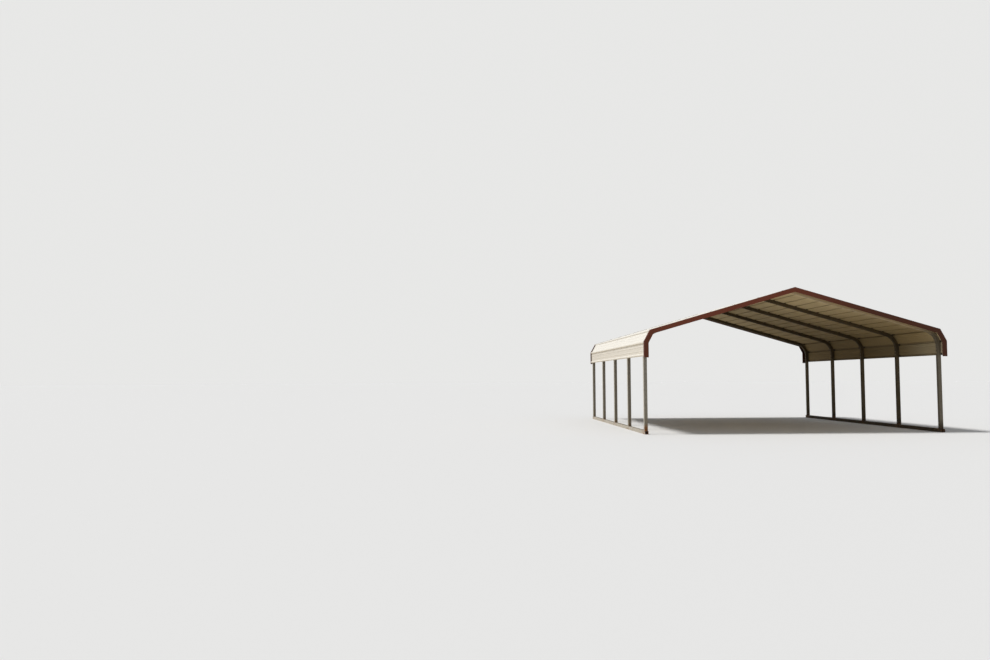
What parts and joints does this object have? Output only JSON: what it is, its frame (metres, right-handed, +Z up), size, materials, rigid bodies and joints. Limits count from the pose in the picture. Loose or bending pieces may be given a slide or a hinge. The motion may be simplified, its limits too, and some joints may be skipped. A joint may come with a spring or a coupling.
{
  "type": "carport",
  "caption": "Open steel carport with a rounded eave: square tube bows on base rails, under ribbed sheets that run lengthwise, with angle trim at both gable ends.",
  "frame": {"origin": "middle of the footprint, at the level of the undersides of the base rails", "axes": "+Z up; +Y along the roof, from the front gable to the back gable; +X across, to the right as seen from the front"},
  "size_m": [5.5286, 6.504, 2.6392],
  "materials": {
    "galvanised_steel": "galvanised, dull, faintly spangled",
    "white_sheet": "baked white paint, low gloss",
    "burgundy_trim": "baked burgundy paint, low gloss"
  },
  "bodies": {
    "root": {"base_rail_left": "galvanised_steel", "base_rail_right": "galvanised_steel", "rail_pins_left": "galvanised_steel", "rail_pins_right": "galvanised_steel", "ridge_sleeves": "galvanised_steel", "leg_left_1": "galvanised_steel", "leg_left_2": "galvanised_steel", "leg_left_3": "galvanised_steel", "leg_left_4": "galvanised_steel", "leg_left_5": "galvanised_steel", "bow_left_1": "galvanised_steel", "bow_left_2": "galvanised_steel", "bow_left_3": "galvanised_steel", "bow_left_4": "galvanised_steel", "bow_left_5": "galvanised_steel", "leg_right_1": "galvanised_steel", "leg_right_2": "galvanised_steel", "leg_right_3": "galvanised_steel", "leg_right_4": "galvanised_steel", "leg_right_5": "galvanised_steel", "bow_right_1": "galvanised_steel", "bow_right_2": "galvanised_steel", "bow_right_3": "galvanised_steel", "bow_right_4": "galvanised_steel", "bow_right_5": "galvanised_steel", "roof_sheet_left_1": "white_sheet", "roof_sheet_left_2": "white_sheet", "roof_sheet_left_3": "white_sheet", "roof_sheet_right_1": "white_sheet", "roof_sheet_right_2": "white_sheet", "roof_sheet_right_3": "white_sheet", "roof_sheet_ridge": "white_sheet", "trim_front_left": "burgundy_trim", "trim_front_right": "burgundy_trim", "trim_back_left": "burgundy_trim", "trim_back_right": "burgundy_trim"}
  },
  "joints": []
}
